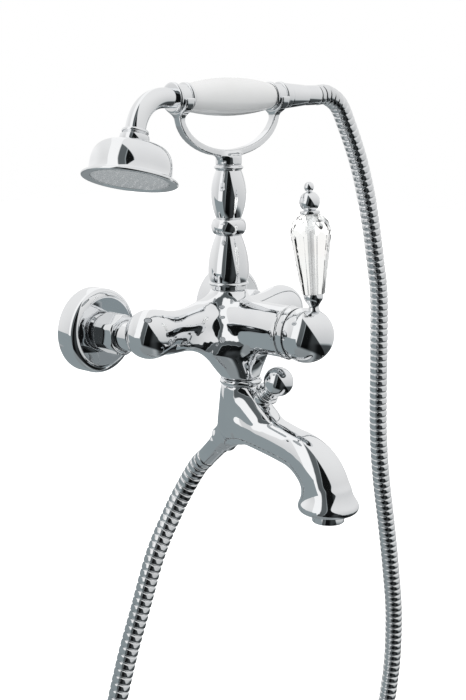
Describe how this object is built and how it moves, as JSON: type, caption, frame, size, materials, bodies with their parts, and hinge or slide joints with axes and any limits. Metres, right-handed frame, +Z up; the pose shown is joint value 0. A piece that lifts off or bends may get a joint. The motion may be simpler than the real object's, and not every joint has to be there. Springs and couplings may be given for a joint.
{
  "type": "bath shower mixer",
  "caption": "Wall-mounted bath shower mixer in chrome with a crystal lever, bath spout with pull diverter, and a cradle holding a porcelain-grip hand shower on a metal hose.",
  "frame": {"origin": "on the wall plane, midway between the two inlet axes", "axes": "+X right along the wall, +Y into the wall, +Z up"},
  "size_m": [0.3862, 0.2158, 0.8023],
  "materials": {
    "chrome_plate": "polished chrome plate on brass",
    "chrome_hose": "interlocked chrome-plated steel strip",
    "brass": "turned brass",
    "steel": "plain stainless steel",
    "rubber": "black rubber",
    "white_plastic": "moulded white acetal",
    "ceramic": "ground alumina",
    "porcelain": "glossy white glaze",
    "crystal": "cut and polished clear crystal",
    "spray_face": "chrome-look moulded face"
  },
  "bodies": {
    "mixer": {"left_wall_union": "chrome_plate", "right_wall_union": "chrome_plate", "left_wall_flange": "chrome_plate", "right_wall_flange": "chrome_plate", "left_union_nut": "chrome_plate", "right_union_nut": "chrome_plate", "inlet_washers": "rubber", "mixer_body": "chrome_plate", "cartridge_barrel": "white_plastic", "cartridge_seals": "rubber", "cartridge_nut": "brass", "trim_collar": "chrome_plate", "column_base_ring": "chrome_plate", "lower_baluster": "chrome_plate", "column_bead": "chrome_plate", "upper_baluster": "chrome_plate", "column_top_ring": "chrome_plate", "column_stud": "steel", "cradle_fork": "chrome_plate", "spout_ring": "chrome_plate", "spout_nipple": "brass", "spout": "chrome_plate", "aerator_housing": "chrome_plate", "aerator_insert": "white_plastic", "aerator_washer": "rubber", "diverter_bonnet": "chrome_plate", "lower_hose_ferrule": "chrome_plate", "lower_hose_washer": "rubber", "shower_hose": "chrome_hose"},
    "turning_spindle": {"spindle": "steel", "tilt_pin": "steel", "ceramic_disc": "ceramic"},
    "lever": {"lever_stem": "steel", "lever_ball": "chrome_plate", "lever_shank": "chrome_plate", "crystal_grip": "crystal", "grip_tie_rod": "steel", "grip_cap": "chrome_plate", "lever_finial": "chrome_plate", "lever_grub_screw": "steel"},
    "diverter": {"diverter_stem": "steel", "diverter_knob": "chrome_plate", "diverter_valve": "brass", "diverter_o_ring": "rubber"},
    "handset": {"handset_head": "chrome_plate", "spray_plate": "spray_face", "spray_gasket": "rubber", "head_nut": "chrome_plate", "handset_neck": "chrome_plate", "front_collar": "chrome_plate", "grip_sleeve": "porcelain", "grip_tube": "brass", "rear_collar": "chrome_plate", "upper_hose_nut": "chrome_plate", "upper_hose_sleeve": "chrome_plate", "upper_hose_washer": "rubber"}
  },
  "joints": [
    {"name": "lever_turn", "type": "hinge", "parent": "mixer", "child": "turning_spindle", "pos_m": [0, -0.1536, 0.0045], "axis": [0, -1, 0], "range_deg": [-45, 45]},
    {"name": "lever_tilt", "type": "hinge", "parent": "turning_spindle", "child": "lever", "pos_m": [0, -0.1536, 0.0045], "axis": [1, 0, 0], "range_deg": [0, 22]},
    {"name": "diverter_pull", "type": "slide", "parent": "mixer", "child": "diverter", "axis": [0, -0.7071, 0.7071], "range_m": [0, 0.008]},
    {"name": "handset_lift", "type": "slide", "parent": "mixer", "child": "handset", "axis": [0, 0, 1], "range_m": [0, 0.05], "deforming": ["shower_hose"]}
  ]
}
